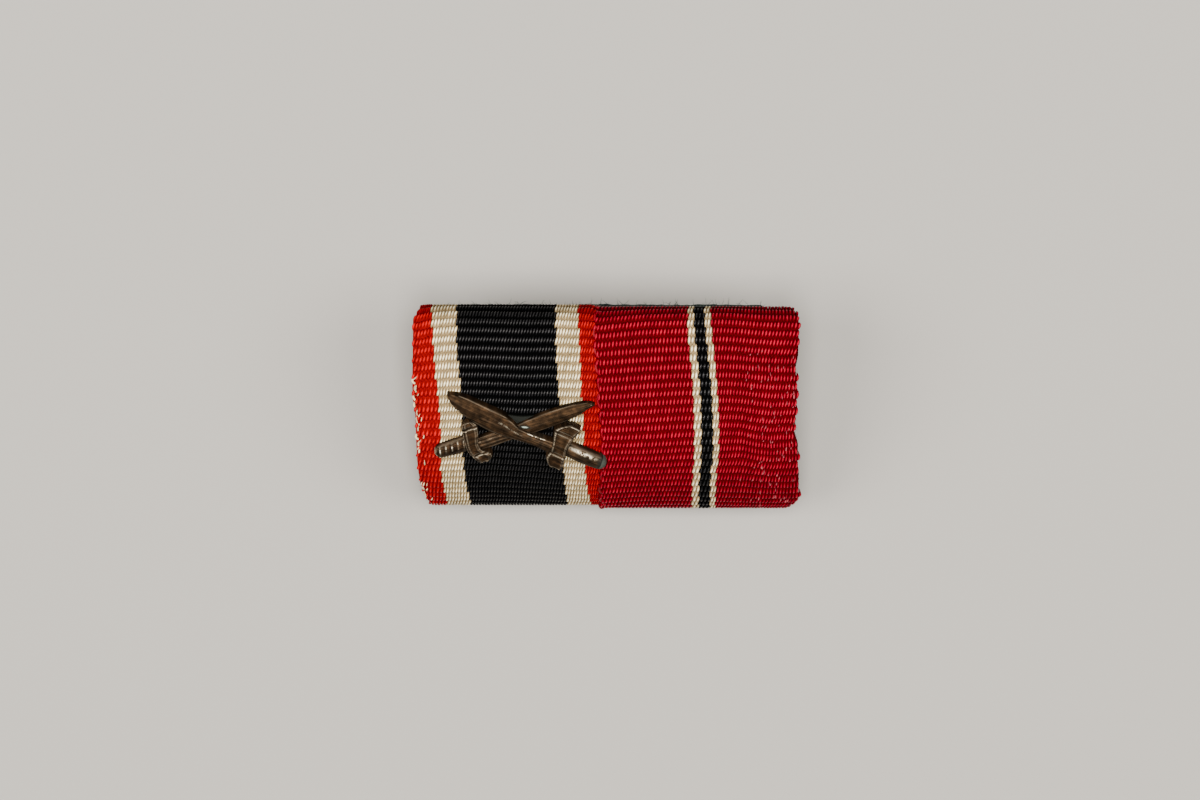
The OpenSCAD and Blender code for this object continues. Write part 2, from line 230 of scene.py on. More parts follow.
def quarter(reach, rise, fullness, steps=48):
    """A quarter of a superellipse, from its side to its top."""
    turn = np.radians(np.linspace(0, 90, steps + 1))
    return np.stack([reach * np.cos(turn) ** (2 / fullness), rise * np.sin(turn) ** (2 / fullness)], 1)


def layer(depth):
    """The line of the wrap at that depth under its face: up the face and out of it, flap to flap."""
    fold = quarter(FOLD_R - depth, FOLD_R - depth, 2)
    upper = quarter(BAR_H - CREST_H - depth, BAR_D - FOLD_R - depth, UPPER_FULLNESS)
    lower = quarter(CREST_H - depth, BAR_D - FOLD_R - depth, LOWER_FULLNESS)
    return np.concatenate([
        [[BAR_H - FOLD_R - UPPER_FLAP, depth]],
        [BAR_H - FOLD_R, FOLD_R] + fold[::-1] * [1, -1],
        ([CREST_H, FOLD_R] + upper)[1:],
        ([CREST_H, FOLD_R] + lower[::-1] * [-1, 1])[1:],
        ([FOLD_R, FOLD_R] + fold * [-1, -1])[1:],
        [[FOLD_R + LOWER_FLAP, depth]],
    ])


def lengths(line):
    """How far along the line each point is, from the start of the upper fold."""
    run = np.concatenate([[0], np.cumsum(np.linalg.norm(np.diff(line, axis=0), axis=1))])
    return run - run[1]


STEP = 0.05
SOFT_STEPS = 6
outline = layer(0)
FACE_S = np.arange(-UPPER_FLAP, lengths(outline)[-1], STEP)
FACE = np.stack([np.interp(FACE_S, lengths(outline), outline[:, k]) for k in (0, 1)], 1)
WRAP_L = lengths(outline)[-2]
heading = np.gradient(FACE, axis=0)
soften = np.hanning(2 * SOFT_STEPS + 1)
heading = np.stack([
    np.convolve(np.pad(heading[:, k], SOFT_STEPS, "edge"), soften / soften.sum(), "valid") for k in (0, 1)
], 1)
heading /= np.linalg.norm(heading, axis=1)[:, None]
INWARD = np.stack([-heading[:, 1], heading[:, 0]], 1)


def on_wrap(x, s, depth):
    """Points at x, at s along the wrap and at that depth under its face."""
    return np.stack([x] + [
        np.interp(s, FACE_S, FACE[:, k]) + depth * np.interp(s, FACE_S, INWARD[:, k]) for k in (0, 1)
    ], axis=-1)


def table(rows, columns, values, row, column):
    """Values between those of a table, whose rows and columns stand at the given numbers."""
    row = np.clip(row, rows[0], rows[-1])
    column = np.clip(column, columns[0], columns[-1])
    i = np.clip(np.searchsorted(rows, row, side="right") - 1, 0, len(rows) - 2)
    j = np.clip(np.searchsorted(columns, column, side="right") - 1, 0, len(columns) - 2)
    rows, columns, values = np.array(rows, float), np.array(columns, float), np.array(values)
    a = (row - rows[i]) / (rows[i + 1] - rows[i])
    b = (column - columns[j]) / (columns[j + 1] - columns[j])
    near = values[i, j] * (1 - b) + values[i, j + 1] * b
    far = values[i + 1, j] * (1 - b) + values[i + 1, j + 1] * b
    return near * (1 - a) + far * a


# Ends are counted from the left selvedge, and ribs from the first one that shows at the top.
# borders: the ends at which the left selvedge, each stripe and the right selvedge stand
# lines: for each rib named in line_ribs, the x of those borders in millimetres
# bow: for each rib named in bow_ribs, the fall of that rib in pitches at each end of bow_ends
# settle: rib, depth in millimetres that the face has sunk
# edge_drop: millimetres that the left and the right selvedge lie lower
# loops: the ribs between which the weft turns round the left selvedge, the ribs for each turn, the
# end that it reaches, and its shape
# bare: chance that the outermost float is worn away beside those turns
# broken: ribs and ends between which worn yarn stands up, how many, and its width and length
LEFT = {
    "name": "left_ribbon",
    "slot": "striped_ribbon",
    "width": 13.7,
    "borders": [0, 6, 14, 47, 55, 61],
    "stripes": ["red", "white", "black", "white", "red"],
    "line_ribs": [-2, 0, 1, 5, 8, 10, 13, 16, 20, 23, 26, 29],
    "lines": [
        [-13.90, -13.10, -11.25, -3.75, -2.05, -0.60],
        [-14.14, -13.14, -11.25, -3.75, -2.05, -0.62],
        [-14.52, -13.14, -11.25, -3.75, -2.05, -0.77],
        [-14.55, -13.00, -11.25, -3.75, -1.94, -0.71],
        [-14.58, -12.86, -11.03, -3.65, -1.86, -0.55],
        [-14.58, -12.69, -10.93, -3.56, -1.86, -0.47],
        [-14.36, -12.54, -10.86, -3.43, -1.70, -0.32],
        [-14.32, -12.47, -10.82, -3.31, -1.64, -0.17],
        [-14.23, -12.53, -10.73, -3.18, -1.54, -0.30],
        [-14.04, -12.33, -10.58, -3.08, -1.41, -0.29],
        [-13.58, -12.08, -10.30, -2.92, -1.14, -0.28],
        [-13.30, -12.00, -10.20, -2.90, -1.10, -0.28],
    ],
    "bow_ribs": [2, 7, 12, 21, 26],
    "bow_ends": [1.5, 5, 12, 23, 35, 45, 54, 59],
    "bow": [
        [0.40, 0.07, -0.15, -0.12, 0.0, 0.0, 0.18, 0.24],
        [0.20, 0.04, -0.12, -0.06, 0.10, 0.07, 0.13, 0.15],
        [-0.03, -0.07, -0.14, -0.12, 0.09, 0.05, 0.12, 0.11],
        [-0.25, -0.18, -0.27, -0.38, -0.13, 0.15, 0.30, 0.32],
        [-0.25, -0.18, -0.27, -0.30, -0.13, 0.10, 0.20, 0.22],
    ],
    "settle": [[-4, -0.08], [0, -0.12], [6, 0.0], [14, 0.0], [18, 0.08], [22, 0.18], [26, 0.27], [30, 0.2]],
    "edge_drop": [0.1, 0.35],
    "loops": {"first": 8, "last": 17, "step": 1, "end": 0.95, "width": 1.15, "depth": 0.2, "uneven": 0.35},
    "bare": 0.5,
    "broken": {"first": 8, "last": 26, "near": 2.1, "far": 0.3, "count": 20, "width": 0.36, "length": 0.6},
}
RIGHT = {
    "name": "right_ribbon",
    "slot": "crimson_ribbon",
    "width": 15.3,
    "borders": [0, 26, 28, 31, 33, 58],
    "stripes": ["crimson", "white", "black", "white", "crimson"],
    "line_ribs": [-2, 0, 1, 3, 5, 6, 8, 10, 12, 14, 15, 17, 18, 20, 21, 23, 24, 25, 26, 28],
    "lines": [
        [-0.70, 6.25, 6.67, 7.46, 7.92, 14.05],
        [-0.72, 6.25, 6.67, 7.46, 7.92, 14.40],
        [-0.87, 6.23, 6.68, 7.48, 7.93, 14.58],
        [-0.93, 6.18, 6.71, 7.55, 8.00, 14.55],
        [-0.83, 6.32, 6.85, 7.69, 8.14, 14.36],
        [-0.73, 6.39, 6.92, 7.75, 8.21, 14.20],
        [-0.65, 6.52, 7.04, 7.89, 8.33, 14.42],
        [-0.57, 6.60, 7.14, 8.01, 8.43, 14.42],
        [-0.47, 6.66, 7.20, 8.07, 8.52, 14.36],
        [-0.37, 6.69, 7.23, 8.13, 8.56, 14.21],
        [-0.32, 6.70, 7.23, 8.14, 8.56, 14.17],
        [-0.30, 6.70, 7.23, 8.14, 8.56, 14.45],
        [-0.34, 6.70, 7.23, 8.14, 8.56, 14.56],
        [-0.40, 6.62, 7.15, 7.98, 8.40, 14.44],
        [-0.41, 6.60, 7.13, 7.96, 8.38, 14.38],
        [-0.39, 6.55, 7.08, 7.92, 8.33, 14.58],
        [-0.44, 6.55, 7.08, 7.92, 8.33, 14.66],
        [-0.42, 6.55, 7.08, 7.92, 8.33, 14.52],
        [-0.38, 6.55, 7.08, 7.92, 8.33, 14.17],
        [-0.36, 6.55, 7.08, 7.92, 8.33, 13.80],
    ],
    "bow_ribs": [2, 7, 12, 16, 18, 21, 24],
    "bow_ends": [2, 6.5, 14, 22.5, 36, 40.5, 45.5, 50, 55],
    "bow": [
        [0.61, 0.43, 0.15, 0.04, -0.10, -0.01, 0.17, 0.28, 0.30],
        [0.54, 0.42, 0.19, 0.01, -0.06, 0.0, 0.17, 0.28, 0.34],
        [0.49, 0.41, 0.19, 0.01, -0.16, -0.08, 0.22, 0.40, 0.31],
        [0.38, 0.34, 0.24, 0.04, -0.19, -0.18, 0.28, 0.44, 0.30],
        [0.23, 0.16, 0.15, -0.04, -0.25, -0.32, 0.14, 0.36, 0.21],
        [0.39, 0.23, 0.13, -0.03, 0.06, 0.03, 0.24, 0.45, 0.39],
        [0.50, 0.31, 0.04, 0.0, 0.30, 0.35, 0.50, 0.55, 0.46],
    ],
    "settle": [[-4, 0.0], [0, 0.05], [6, 0.0], [26, 0.0]],
    "edge_drop": [-0.08, 0.1],
    "loops": {"first": -4, "last": 32, "step": 2, "end": 1.0, "width": 1.9, "depth": 0.18, "uneven": 0.15},
    "bare": 0.0,
    "broken": {"first": 5, "last": 26, "near": 40, "far": 58, "count": 90, "width": 0.28, "length": 0.4},
}
# The ends that drop next to a selvedge, the width of an end outside it, and the ribs over which the
# bow fades beyond the face
EDGE_ENDS = 2.2
END_W = 0.25
BOW_FADE = 4
# rib, share of the light kept there: painted shade on the top rows and those towards the bottom
PAINTED_FALLOFF = [[-6, 0.4], [-0.4, 0.45], [0.6, 0.62], [1.6, 1.0], [15, 1.0], [19, 0.9], [22, 0.8], [26, 0.7],
        [30, 0.6]]


def on_ribbon(ribbon, end, rib, depth):
    """Points on a ribbon at that end, rib and depth, in millimetres on the bar."""
    end, rib = np.broadcast_arrays(np.asarray(end, float), np.asarray(rib, float))
    right = ribbon["borders"][-1]
    inside = np.clip(end, 0, right)
    x = table(ribbon["line_ribs"], ribbon["borders"], ribbon["lines"], rib, inside)
    fall = table(ribbon["bow_ribs"], ribbon["bow_ends"], ribbon["bow"], rib, end)
    above, below = rib + BOW_FADE, LAST_RIB + 2 * BOW_FADE - rib
    fade = np.clip(above / BOW_FADE, 0, 1) * np.clip(below / BOW_FADE, 0, 1)
    s = FIRST_RIB + RIB_PITCH * (rib + fall * fade)
    sunk = depth + np.interp(rib, *zip(*ribbon["settle"]))
    for edge, drop in zip((end, right - end), ribbon["edge_drop"]):
        sunk = sunk + drop * np.clip(1 - edge / EDGE_ENDS, 0, 1.3) ** 2
    return on_wrap(x + (end - inside) * END_W, s, sunk)


# Rayon yarn: bright dyed filament with a hard gloss along each float. Between the floats and on the
# cloth under them, the same yarn is painted in its shade, dark and saturated.
# YARN is the colour in full light, SHADE painted shade between the floats, GLOSS the tint of its highlights
YARN = {"red": "#aa000a", "crimson": "#9e0023", "white": "#ffefc4", "black": "#1b1a1b"}
SHADE = {"red": "#740003", "crimson": "#4c0007", "white": "#8b7552", "black": "#040404"}
GLOSS = {"red": "#5c1c16", "crimson": "#f63c5a", "white": "#ffe6b8", "black": "#fff8f0"}
GLOSS_LEVEL = 0.27
TWIST = 5.0


def stored(tree, name, output="Fac"):
    """What a mesh stores for its points under a name."""
    return add(tree, "ShaderNodeAttribute", attribute_name=name).outputs[output]


def rescaled(tree, value, start, end, low=0.0, high=1.0):
    """Runs from low to high while the value runs from start to end."""
    return add(tree, "ShaderNodeMapRange", {
        "Value": value, "From Min": start, "From Max": end, "To Min": low, "To Max": high,
    }).outputs["Result"]


def mix(tree, factor, first, second):
    """The first colour where the factor is 0, the second where it is 1."""
    return add(tree, "ShaderNodeMix", {"Factor": factor, 6: first, 7: second}, data_type="RGBA").outputs[2]


def stripes(tree, ribbon, colours, factor):
    """One flat colour for each stripe, along the ribbon's width from 0 to 1."""
    starts = [border / ribbon["borders"][-1] for border in ribbon["borders"]]
    return ramp(tree, factor, zip(starts, [colours[name] for name in ribbon["stripes"]]), "CONSTANT")


def rep_material(name, ribbon, on_floats):
    """A ribbon's yarn: matt cloth, glossy float crowns, and painted shade on the cloth and float edges."""
    material, tree = new_material(name)
    share = compute(tree, "DIVIDE", stored(tree, "end"), ribbon["borders"][-1])
    # The cloth, and the floats where they dive, take the stripe colours in painted shade.
    dye_and_painted_shade = stripes(tree, ribbon, SHADE, share)
    # Painted shade across the wrap: darker and duller on the top rows and towards the bottom.
    painted_falloff = stored(tree, "painted_falloff")
    level = compute(tree, "MULTIPLY", rescaled(tree, speckle(tree, 300, 3), 0, 1, 0.82, 1.18), painted_falloff)
    values = {"Roughness": 0.3 if on_floats else 0.8, "Specular IOR Level": 0.0}
    if on_floats:
        level = compute(tree, "MULTIPLY", level, rescaled(tree, stored(tree, "tone"), 0, 1, 0.72, 1.2))
        thread = add(tree, "ShaderNodeSeparateXYZ", {"Vector": stored(tree, "thread", "Vector")}).outputs
        # Painted shade: each float darkens towards its ends, where it dives between the cords, and its
        # sides.
        ends = rescaled(tree, compute(tree, "ABSOLUTE", thread["Y"]), 0.12, 0.38)
        sides = rescaled(tree, compute(tree, "ABSOLUTE", thread["X"]), 0, 0.34)
        painted_shade = compute(tree, "ADD", ends, sides, use_clamp=True)
        dye_and_painted_shade = mix(tree, painted_shade, stripes(tree, ribbon, YARN, share), dye_and_painted_shade)
        # Gloss only on the crown, dimmed where the shade is painted.
        crown = compute(tree, "MULTIPLY", compute(tree, "SUBTRACT", 1, painted_shade), painted_falloff)
        along = compute(tree, "ADD", thread["X"], thread["Y"])
        strands = compute(tree, "SINE", compute(tree, "MULTIPLY", along, TWIST * math.tau))
        values["Specular IOR Level"] = compute(tree, "MULTIPLY", crown, GLOSS_LEVEL)
        values["Specular Tint"] = stripes(tree, ribbon, GLOSS, share)
        values["Normal"] = bumped(tree, 0.35, 0.02, strands)
    grey = add(tree, "ShaderNodeCombineXYZ", {"X": level, "Y": level, "Z": level})
    lit = add(tree, "ShaderNodeVectorMath", {0: dye_and_painted_shade, 1: grey.outputs["Vector"]}, operation="MULTIPLY")
    shade(tree, {**values, "Base Color": lit.outputs["Vector"]})
    return material


def set_values(mesh, name, values):
    """Stores one number or vector for each point of a mesh."""
    values = np.asarray(values, np.float32)
    kind, key = ("FLOAT", "value") if values.ndim == 1 else ("FLOAT_VECTOR", "vector")
    mesh.attributes.new(name, kind, "POINT").data.foreach_set(key, values.ravel())


def face_outwards(mesh):
    """Turns the faces of a closed mesh outwards."""
    bm = bmesh.new()
    bm.from_mesh(mesh)
    bmesh.ops.recalc_face_normals(bm, faces=bm.faces)
    bm.to_mesh(mesh)
    bm.free()


def skin(rows, columns):
    """The faces of a closed skin over two grids of points, one under the other."""
    index = np.arange(2 * rows * columns).reshape(2, rows, columns)
    faces = [np.stack([g[:-1, :-1], g[1:, :-1], g[1:, 1:], g[:-1, 1:]], -1).reshape(-1, 4)[:, ::turn]
             for g, turn in zip(index, (1, -1))]
    sides = (index[:, 0, :], index[:, -1, ::-1], index[:, ::-1, 0], index[:, :, -1])
    faces += [np.stack([line[0, :-1], line[0, 1:], line[1, 1:], line[1, :-1]], -1) for line in sides]
    return np.concatenate(faces)


# The cloth's mesh: warp ends for each step across, steps for each rib, and in millimetres its depth
# under the crowns of the floats and the depth of its grooves
CLOTH_ENDS = 2
CLOTH_STEPS = 6
CLOTH_UNDER = 0.16
CLOTH_GROOVE = 0.2


def woven_ground(ribbon):
    """The closed sheet of cloth under the floats, with a swelling over each weft cord."""
    right = ribbon["borders"][-1]
    ends = np.unique(np.append(np.arange(0, right, CLOTH_ENDS), right))
    first, last = ((s - FIRST_RIB) / RIB_PITCH for s in (-UPPER_FLAP, WRAP_L + LOWER_FLAP - STEP))
    ribs = np.linspace(first, last, round((last - first) * CLOTH_STEPS))
    end, rib = np.meshgrid(ends, ribs, indexing="ij")
    outer = on_ribbon(ribbon, end, rib, CLOTH_UNDER + CLOTH_GROOVE * np.sin(np.pi * rib) ** 2)
    inside = layer(CLOTH_T)
    run = lengths(inside)
    s = np.interp(FIRST_RIB + RIB_PITCH * rib, [-UPPER_FLAP, 0, WRAP_L, WRAP_L + LOWER_FLAP],
                  run[[0, 1, -2, -1]])
    inner = np.stack([outer[..., 0]] + [np.interp(s, run, inside[:, k]) for k in (0, 1)], -1)
    points = lay(np.stack([outer, inner]).reshape(-1, 3))
    obj = object_from(ribbon["name"] + "_ground", points, skin(*end.shape))
    set_values(obj.data, "end", np.tile(end.ravel(), 2))
    # Painted shade: darker on the top rows and towards the bottom of the wrap.
    set_values(obj.data, "painted_falloff", np.tile(np.interp(rib.ravel(), *zip(*PAINTED_FALLOFF)), 2))
    face_outwards(obj.data)
    obj.data.shade_smooth()
    return obj


# columns: share of the float's length from its middle, share of its full thickness
FLOAT_RINGS = [[-0.47, 0.2], [-0.32, 0.62], [-0.13, 0.97], [0.13, 0.97], [0.32, 0.62], [0.47, 0.2]]
FLOAT_SIDES = 6
# How steeply the ends of a float dive between the cords
FLOAT_SAG = 9.5


def float_shape():
    """One warp float, a unit long and wide, arched over its cord."""
    points = [(0, -0.5, 0)]
    for y, r in FLOAT_RINGS:
        for k in range(FLOAT_SIDES):
            turn = math.tau * (k + 0.5) / FLOAT_SIDES
            points.append((0.5 * r * math.cos(turn), y, 0.5 * r * math.sin(turn)))
    points.append((0, 0.5, 0))
    faces = []
    for k in range(FLOAT_SIDES):
        after = (k + 1) % FLOAT_SIDES
        faces.append((0, 1 + after, 1 + k))
        for ring in range(len(FLOAT_RINGS) - 1):
            a = 1 + ring * FLOAT_SIDES
            faces.append((a + k, a + after, a + FLOAT_SIDES + after, a + FLOAT_SIDES + k))
        a = 1 + (len(FLOAT_RINGS) - 1) * FLOAT_SIDES
        faces.append((a + k, a + after, len(points) - 1))
    arched = [(x, y, z - FLOAT_SAG * abs(y) ** 3) for x, y, z in points]
    obj = object_from("float shape", arched, [f[::-1] for f in faces])
    set_values(obj.data, "thread", points)
    return obj


def spot_mesh(name, ribbon, end, rib, depth):
    """A mesh of bare points, each with the ribbon's directions across and along it there."""
    obj = object_from(name, lay(on_ribbon(ribbon, end, rib, depth)), [])
    for name, end_step, rib_step in (("across", 0.5, 0.0), ("along", 0.0, -0.5)):
        after = lay(on_ribbon(ribbon, end + end_step, rib + rib_step, depth))
        before = lay(on_ribbon(ribbon, end - end_step, rib - rib_step, depth))
        set_values(obj.data, name, after - before)
    set_values(obj.data, "end", end)
    # Painted shade: darker on the top rows and towards the bottom of the wrap.
    set_values(obj.data, "painted_falloff", np.interp(rib, *zip(*PAINTED_FALLOFF)))
    return obj


def new_tree(name, numbers):
    """A tree that sets a shape on a mesh. Its inputs: those two, a material, a seed and numbers."""
    tree = bpy.data.node_groups.new(name, "GeometryNodeTree")
    kinds = {"Geometry": "Geometry", "Shape": "Object", "Material": "Material", "Seed": "Int"}
    for socket, kind in (kinds | dict.fromkeys(numbers, "Float")).items():
        tree.interface.new_socket(socket, in_out="INPUT", socket_type="NodeSocket" + kind)
    tree.interface.new_socket("Geometry", in_out="OUTPUT", socket_type="NodeSocketGeometry")
    return tree, add(tree, "NodeGroupInput").outputs


def turned_by(tree, rotation, angles):
    """A rotation turned further by angles, in its own directions."""
    turn = add(tree, "FunctionNodeEulerToRotation", {"Euler": angles})
    return add(tree, "FunctionNodeRotateRotation", {"Rotation": rotation, "Rotate By": turn.outputs[0]},
               rotation_space="LOCAL").outputs[0]


def set_on(tree, given, points, rotation, scale):
    """Ends a tree with the given shape on every point, each with its own tone."""
    tone = add(tree, "FunctionNodeRandomValue", {"Seed": given["Seed"]}, data_type="FLOAT")
    toned = add(tree, "GeometryNodeStoreNamedAttribute", {
        "Geometry": points, "Name": "tone", "Value": tone.outputs[1],
    }, data_type="FLOAT", domain="POINT")
    shape = add(tree, "GeometryNodeObjectInfo", {"Object": given["Shape"]})
    copies = add(tree, "GeometryNodeInstanceOnPoints", {
        "Points": toned.outputs[0], "Instance": shape.outputs["Geometry"], "Rotation": rotation,
        "Scale": scale,
    })
    real = add(tree, "GeometryNodeRealizeInstances", {"Geometry": copies.outputs[0]})
    painted = add(tree, "GeometryNodeSetMaterial", {
        "Geometry": real.outputs[0], "Material": given["Material"],
    })
    add(tree, "NodeGroupOutput", {"Geometry": painted.outputs[0]})
    return tree


def weaving_tree():
    """Sets a thread's shape on every point, turned to the ribbon there, each a little different."""
    tree, given = new_tree("weaving", ("Width", "Length", "Thickness", "Slant", "Unevenness"))
    across, along = (
        add(tree, "GeometryNodeInputNamedAttribute", {"Name": name}, data_type="FLOAT_VECTOR").outputs[0]
        for name in ("across", "along")
    )
    chance = add(tree, "FunctionNodeRandomValue", {
        0: (-1, -1, -1), 1: (1, 1, 1), "Seed": given["Seed"],
    }, data_type="FLOAT_VECTOR")
    uneven = add(tree, "ShaderNodeVectorMath", {0: chance.outputs[0], "Scale": given["Unevenness"]},
                 operation="SCALE").outputs[0]
    share = add(tree, "ShaderNodeVectorMath", {0: uneven, 1: (1, 1, 1)}, operation="ADD")
    spans = [add(tree, "ShaderNodeVectorMath", {0: way}, operation="LENGTH").outputs["Value"]
             for way in (across, along)]
    size = add(tree, "ShaderNodeCombineXYZ", {
        "X": compute(tree, "MULTIPLY", spans[0], given["Width"]),
        "Y": compute(tree, "MULTIPLY", spans[1], given["Length"]), "Z": given["Thickness"],
    })
    scale = add(tree, "ShaderNodeVectorMath", {0: size.outputs[0], 1: share.outputs[0]},
                operation="MULTIPLY")
    laid = add(tree, "FunctionNodeAxesToRotation", {"Primary Axis": along, "Secondary Axis": across},
               primary_axis="Y", secondary_axis="X")
    sway = add(tree, "ShaderNodeSeparateXYZ", {0: uneven}).outputs["Y"]
    lean = add(tree, "ShaderNodeCombineXYZ", {"Z": compute(tree, "ADD", sway, given["Slant"])})
    turned = turned_by(tree, laid.outputs[0], lean.outputs[0])
    return set_on(tree, given, given["Geometry"], turned, scale.outputs[0])


def settled(obj, scale):
    """Applies an object's modifiers and scales the mesh that they give."""
    bpy.context.view_layer.update()
    mesh = bpy.data.meshes.new_from_object(obj.evaluated_get(bpy.context.evaluated_depsgraph_get()))
    mesh.transform(Matrix.Scale(scale, 4))
    obj.modifiers.clear()
    obj.data = mesh


def grown(obj, tree, values):
    """Runs a node tree on an object, with its inputs set by name, and keeps the plain mesh."""
    modifier = obj.modifiers.new(tree.name, "NODES")
    modifier.node_group = tree
    for item in tree.interface.items_tree:
        if item.in_out == "INPUT" and item.name in values:
            modifier[item.identifier] = values[item.name]
    settled(obj, 1)
    obj.data.shade_smooth()
    return obj


WEAVING = weaving_tree()
warp_float = float_shape()
FLOAT_RIBS = range(-4, 33)
# Thickness in millimetres, and width and length in spacings of the warp ends and of the ribs
FLOAT_T, FLOAT_W, FLOAT_L = 0.27, 0.92, 1.25
# How far each row of floats is shifted: the warp ends take turns over the cords
ROW_SHIFT = (0.25, 0.75)


def warp_floats(ribbon, material, seed, slant):
    """A float for every warp end over every rib, less those worn away at the left selvedge."""
    right = ribbon["borders"][-1]
    rows = [np.arange(right + 1) + ROW_SHIFT[rib % 2] for rib in FLOAT_RIBS]
    end, rib = np.concatenate(rows), np.repeat(np.array(FLOAT_RIBS, float), right + 1)
    chance = np.random.default_rng(seed).random(len(end))
    loops = ribbon["loops"]
    kept = end < right + 0.5
    kept &= (end > 1) | (rib < loops["first"]) | (rib > loops["last"]) | (chance > ribbon["bare"])
    obj = spot_mesh(ribbon["name"] + "_floats", ribbon, end[kept], rib[kept], FLOAT_T / 2)
    return grown(obj, WEAVING, {
        "Shape": warp_float, "Width": FLOAT_W, "Length": FLOAT_L, "Thickness": FLOAT_T * MM,
        "Slant": slant, "Unevenness": 0.07, "Seed": seed, "Material": material,
    })


# A turn of the weft: its thickness in millimetres, its length as a share of the ribs for each turn,
# how many ends it wanders across, and its mesh
LOOP_T = 0.2
LOOP_L = 0.68
LOOP_WANDER = (-0.35, 0.25)
LOOP_STEPS = 9
LOOP_SIDES = 5


def tube_faces(steps, sides):
    """The faces of a closed tube over rings of points."""
    faces = []
    for i in range(steps):
        for k in range(sides):
            a, b = i * sides + k, i * sides + (k + 1) % sides
            faces.append((a, b, b + sides, a + sides))
    return faces + [range(sides - 1, -1, -1), range(steps * sides, (steps + 1) * sides)]


def loop_shape():
    """A weft thread turning round the selvedge: half a ring in the plane of the cloth."""
    points = []
    for i in range(LOOP_STEPS + 1):
        turn = math.pi * (i / LOOP_STEPS - 0.5)
        for k in range(LOOP_SIDES):
            ring = math.tau * k / LOOP_SIDES
            r = 0.5 + 0.2 * math.cos(ring)
            points.append((-r * math.cos(turn), r * math.sin(turn), 0.5 * math.sin(ring)))
    obj = object_from("loop shape", points, tube_faces(LOOP_STEPS, LOOP_SIDES))
    set_values(obj.data, "thread", points)
    face_outwards(obj.data)
    return obj


def yarn_material(name, colour, roughness):
    """Plain spun yarn of one colour, each thread a little lighter or darker."""
    material, tree = new_material(name)
    tones = add(tree, "ShaderNodeValToRGB", {"Fac": stored(tree, "tone")})
    for element, share in zip(tones.color_ramp.elements, (0.6, 1.1)):
        element.color = [min(1, c * share) for c in linear(colour)[:3]] + [1]
    shade(tree, {"Base Color": tones.outputs["Color"], "Roughness": roughness, "Specular IOR Level": 0.1})
    return material


weft_loop = loop_shape()
cream_weft = yarn_material("cream cotton weft", "#c0aa82", 0.6)
faded_yarn = yarn_material("faded crimson rayon", "#8c3c40", 0.5)
crimson_weft = yarn_material("crimson cotton weft", "#64000c", 0.5)
# Thickness of worn yarn and its depth under the face, in millimetres
WORN_T, WORN_DEPTH = 0.12, -0.02


def weft_loops(ribbon, material, seed):
    """The turns of the weft round the left selvedge."""
    loops = ribbon["loops"]
    rib = np.arange(loops["first"], loops["last"], loops["step"]) + 0.5
    end = loops["end"] + np.random.default_rng(seed).uniform(*LOOP_WANDER, len(rib))
    obj = spot_mesh(ribbon["name"] + "_weft", ribbon, end, rib, loops["depth"])
    return grown(obj, WEAVING, {
        "Shape": weft_loop, "Width": loops["width"], "Length": LOOP_L * loops["step"],
        "Thickness": LOOP_T * MM, "Slant": 0.0, "Unevenness": loops["uneven"], "Seed": seed,
        "Material": material,
    })


def broken_floats(ribbon, material, seed):
    """Short bare ends of yarn that stand up where floats near a selvedge are worn through."""
    rng = np.random.default_rng(seed)
    worn = ribbon["broken"]
    rib = rng.uniform(worn["first"], worn["last"], worn["count"])
    end = worn["near"] + (worn["far"] - worn["near"]) * rng.random(worn["count"]) ** 0.7
    obj = spot_mesh(ribbon["name"] + "_worn_yarn", ribbon, end, rib, WORN_DEPTH)
    return grown(obj, WEAVING, {
        "Shape": warp_float, "Width": worn["width"], "Length": worn["length"], "Thickness": WORN_T * MM,
        "Slant": -0.3, "Unevenness": 0.4, "Seed": seed, "Material": material,
    })


# columns: ribbon, seed, slant of its floats, yarn of its weft and of its worn places
for ribbon, seed, slant, weft, worn_yarn in (
    (LEFT, 11, -0.3, cream_weft, cream_weft),
    (RIGHT, 23, -0.2, crimson_weft, faded_yarn),
):
    ground = woven_ground(ribbon)
    # The cloth under the floats is coloured in painted shade.
    ground.data.materials.append(rep_material(ribbon["name"] + " ground weave in painted shade", ribbon, False))
    floats = warp_floats(ribbon, rep_material(ribbon["name"] + " warp floats with painted shade", ribbon, True), seed, slant)
    loops = [weft_loops(ribbon, weft, seed + 1), broken_floats(ribbon, worn_yarn, seed + 2)]
    for piece in [ground, floats] + loops:
        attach(piece, "root")
    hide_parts(ribbon["name"])
for shape in (warp_float, weft_loop):
    bpy.data.objects.remove(shape)


# Backing felt.
# A plate of dark green pressed wool felt covers the back, with openings for the legs of the pin.
# Its surface is slightly uneven, and loose wool stands up from it.

# The step of the plate's even mesh, in millimetres
FELT_VOXEL = 0.16
# How far the wool swells into the folds of the cloth that it is stuck to, in millimetres
FELT_SWELL = 0.26
# Its lumps: how high and how close, and how far above the floor the plate and its loose wool stay
FELT_LUMPS = ((0.07, 0.9), (0.05, 3.1))
FELT_REST, WOOL_REST = 0.05, 0.02
# Half the thickness of a hair at its root, as a share of its length
HAIR_R = 0.035


def in_millimetres(obj, name):
    """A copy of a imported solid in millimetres, with its loose triangles joined."""
    bm = bmesh.new()
    bm.from_mesh(obj.data)
    bmesh.ops.scale(bm, vec=(1 / MM,) * 3, verts=bm.verts)
    bmesh.ops.remove_doubles(bm, verts=bm.verts, dist=0.001)
    bmesh.ops.dissolve_limit(bm, angle_limit=math.radians(1), verts=bm.verts, edges=bm.edges)
    mesh = bpy.data.meshes.new(name)
    bm.to_mesh(mesh)
    bm.free()
    return placed(name, mesh)


